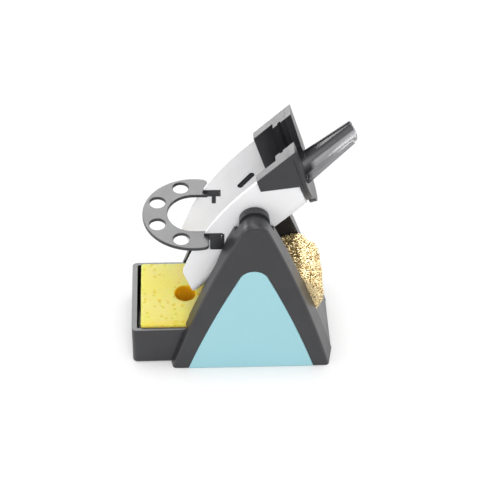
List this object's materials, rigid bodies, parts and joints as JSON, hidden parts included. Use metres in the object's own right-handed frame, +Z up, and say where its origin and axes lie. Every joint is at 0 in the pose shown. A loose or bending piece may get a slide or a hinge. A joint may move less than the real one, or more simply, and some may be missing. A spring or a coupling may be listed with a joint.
{
  "type": "soldering iron rest",
  "caption": "Bench rest for a soldering iron: tilting open trough between A-shaped covers, horseshoe tip tray, sponge in a sliding tray and a brass wool cleaner.",
  "frame": {"origin": "middle of the rubber mat's underside, on the bench, below the holder's pivot", "axes": "+X from the sponge towards the brass wool, +Y from the front cover to the rear cover, +Z up"},
  "size_m": [0.1346, 0.0726, 0.1663],
  "materials": {
    "dark_plastic": "fine-grained moulded, satin",
    "panel_plastic": "smooth satin",
    "white_plastic": "smooth satin",
    "sheet_steel": "zinc plated",
    "plated_steel": "zinc plated",
    "black_steel": "black oxide",
    "rubber": "matt",
    "sponge": "open-celled cellulose",
    "brass_ribbon": "loose curled brass ribbon, mostly air",
    "bush_brass": "turned",
    "washer_plastic": "natural"
  },
  "bodies": {
    "stand": {"front_cover": "dark_plastic", "rear_cover": "dark_plastic", "front_panel": "panel_plastic", "rear_panel": "panel_plastic", "chassis": "dark_plastic", "cover_screws": "plated_steel", "base_plate": "sheet_steel", "base_screws": "plated_steel", "base_mat": "rubber", "ballast_weight": "sheet_steel", "brass_wool": "brass_ribbon", "pivot_bushes": "bush_brass", "friction_washers": "washer_plastic"},
    "holder": {"holder_trough": "white_plastic", "cradle": "dark_plastic", "cradle_screws": "plated_steel", "hand_guard": "dark_plastic", "front_tip_socket": "dark_plastic", "rear_tip_socket": "dark_plastic", "front_pivot_pin": "black_steel", "rear_pivot_pin": "black_steel", "spring_washers": "plated_steel", "pivot_nuts": "plated_steel"},
    "sponge_drawer": {"sponge_tray": "dark_plastic", "tray_feet": "rubber", "sponge": "sponge"},
    "tip_rack": {"tip_tray": "dark_plastic"}
  },
  "joints": [
    {"name": "holder_tilt", "type": "hinge", "parent": "stand", "child": "holder", "pos_m": [0, 0, 0.112], "axis": [0, 1, 0], "range_deg": [-10, 20]},
    {"name": "sponge_tray_slide", "type": "slide", "parent": "stand", "child": "sponge_drawer", "axis": [-1, 0, 0], "range_m": [0, 0.06]},
    {"name": "tip_tray_slide", "type": "slide", "parent": "holder", "child": "tip_rack", "axis": [-1, 0, 0], "range_m": [0, 0.018]}
  ]
}
